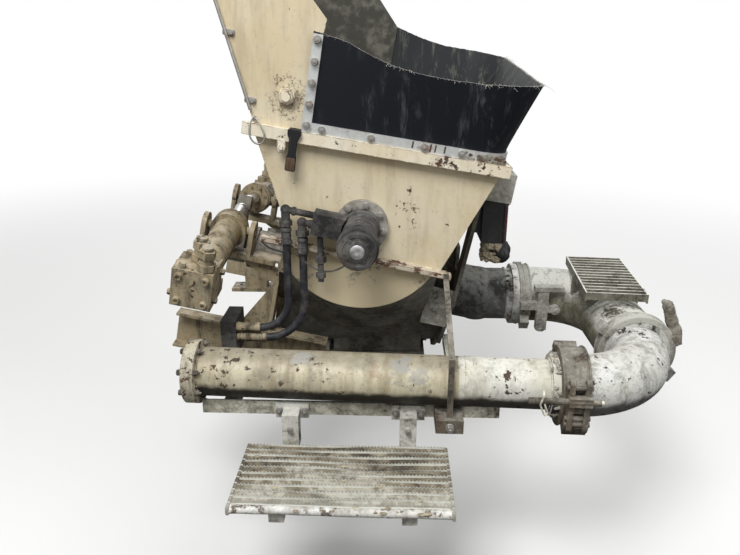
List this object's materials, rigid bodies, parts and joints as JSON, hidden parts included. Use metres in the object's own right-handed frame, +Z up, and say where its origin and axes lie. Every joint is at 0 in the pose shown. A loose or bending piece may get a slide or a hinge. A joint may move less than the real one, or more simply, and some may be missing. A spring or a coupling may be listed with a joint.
{
  "type": "concrete pump hopper unit",
  "caption": "Rear hopper of a concrete pump with swing valve, agitator, grate, splash guard, clean-out door, outlet bends, delivery pipe and side step.",
  "frame": {"origin": "middle of the four bolt holes in the underside of the rail feet", "axes": "+X to the rear of the truck, +Y to its far side, +Z up"},
  "size_m": [1.6155, 1.7676, 1.4674],
  "materials": {
    "cream_paint": "chipped cream paint with rust specks",
    "concrete_skin": "worn steel under a skin of dry concrete",
    "cast_grey": "grey cast iron, concrete stained",
    "dark_steel": "dark grease and dirt over black paint",
    "galvanised": "dull galvanised strip with rust at its edges",
    "black_rubber": "matt belt rubber with a frayed cement-stained edge",
    "rusty_steel": "rusty brown steel with cement dust",
    "white_elbow": "off-white paint worn to stained steel",
    "red_lens": "dull red lens",
    "bright_rod": "hard chromed rod"
  },
  "bodies": {
    "hopper_unit": {"hopper_tub": "cream_paint", "hopper_trough": "concrete_skin", "front_plate": "cream_paint", "rear_plate": "concrete_skin", "split_bars": "rusty_steel", "rim_frame": "cream_paint", "side_cheeks": "cream_paint", "splash_back": "concrete_skin", "splash_guard": "black_rubber", "guard_strips": "galvanised", "rear_frame": "dark_steel", "lamp_boxes": "dark_steel", "lamp_lenses": "red_lens", "carry_rails": "cream_paint", "rail_feet": "cream_paint", "hopper_feet": "cream_paint", "motor_flange": "cast_grey", "agitator_motor": "dark_steel", "far_bearing": "cast_grey", "grate_pins": "cream_paint", "valve_bearing": "cast_grey", "shift_brackets": "cream_paint", "door_latch": "cast_grey", "outlet_neck": "cast_grey", "outlet_clamp": "cast_grey", "first_elbow": "white_elbow", "middle_clamp": "rusty_steel", "second_elbow": "white_elbow", "pipe_clamp": "rusty_steel", "delivery_pipe": "cream_paint", "pipe_end_flange": "cream_paint", "elbow_step": "concrete_skin", "pipe_rail": "cast_grey", "rail_arms": "cast_grey", "step_brackets": "cream_paint", "step_tread": "concrete_skin", "hanger_strap": "cast_grey", "hose_fittings": "cast_grey", "drain_hoses": "black_rubber", "draw_latch": "black_rubber"},
    "agitator": {"agitator_shaft": "concrete_skin", "agitator_paddles": "concrete_skin"},
    "grate": {"hopper_grate": "concrete_skin"},
    "valve": {"s_tube": "concrete_skin", "crank_lever": "concrete_skin"},
    "near_cylinder": {"near_shift_barrel": "cream_paint"},
    "near_rod": {"near_shift_rod": "bright_rod"},
    "far_cylinder": {"far_shift_barrel": "cream_paint"},
    "far_rod": {"far_shift_rod": "bright_rod"},
    "clean_out": {"clean_out_door": "concrete_skin"}
  },
  "joints": [
    {"name": "agitator_turn", "type": "hinge", "parent": "hopper_unit", "child": "agitator", "pos_m": [0.496, 0, 0.515], "axis": [0, 1, 0], "continuous": true},
    {"name": "grate_lift", "type": "hinge", "parent": "hopper_unit", "child": "grate", "pos_m": [0.28437, 0, 0.88964], "axis": [0, -1, 0], "range_deg": [0, 105]},
    {"name": "valve_swing", "type": "hinge", "parent": "hopper_unit", "child": "valve", "pos_m": [0.43818, 0, 0.23082], "axis": [0.9799, 0, -0.1994], "range_deg": [-38.7, 38.7]},
    {"name": "near_cylinder_tilt", "type": "hinge", "parent": "hopper_unit", "child": "near_cylinder", "pos_m": [0.04213, -0.235, 0.44097], "axis": [0.9799, 0, -0.1994], "range_deg": [-8, 8]},
    {"name": "near_rod_slide", "type": "slide", "parent": "near_cylinder", "child": "near_rod", "axis": [0.0277, 0.9903, 0.1364], "range_m": [-0.101, 0.101]},
    {"name": "far_cylinder_tilt", "type": "hinge", "parent": "hopper_unit", "child": "far_cylinder", "pos_m": [0.04213, 0.235, 0.44097], "axis": [0.9799, 0, -0.1994], "range_deg": [-8, 8]},
    {"name": "far_rod_slide", "type": "slide", "parent": "far_cylinder", "child": "far_rod", "axis": [0.0277, -0.9903, 0.1364], "range_m": [-0.101, 0.101]},
    {"name": "clean_out_hinge", "type": "hinge", "parent": "hopper_unit", "child": "clean_out", "pos_m": [0.3555, 0, -0.0583], "axis": [0, 1, 0], "range_deg": [0, 85]}
  ],
  "couplings": [
    {"joint": "near_rod_slide", "follows": "valve_swing", "m_per_rad": -0.1481},
    {"joint": "far_rod_slide", "follows": "valve_swing", "m_per_rad": 0.1481}
  ]
}
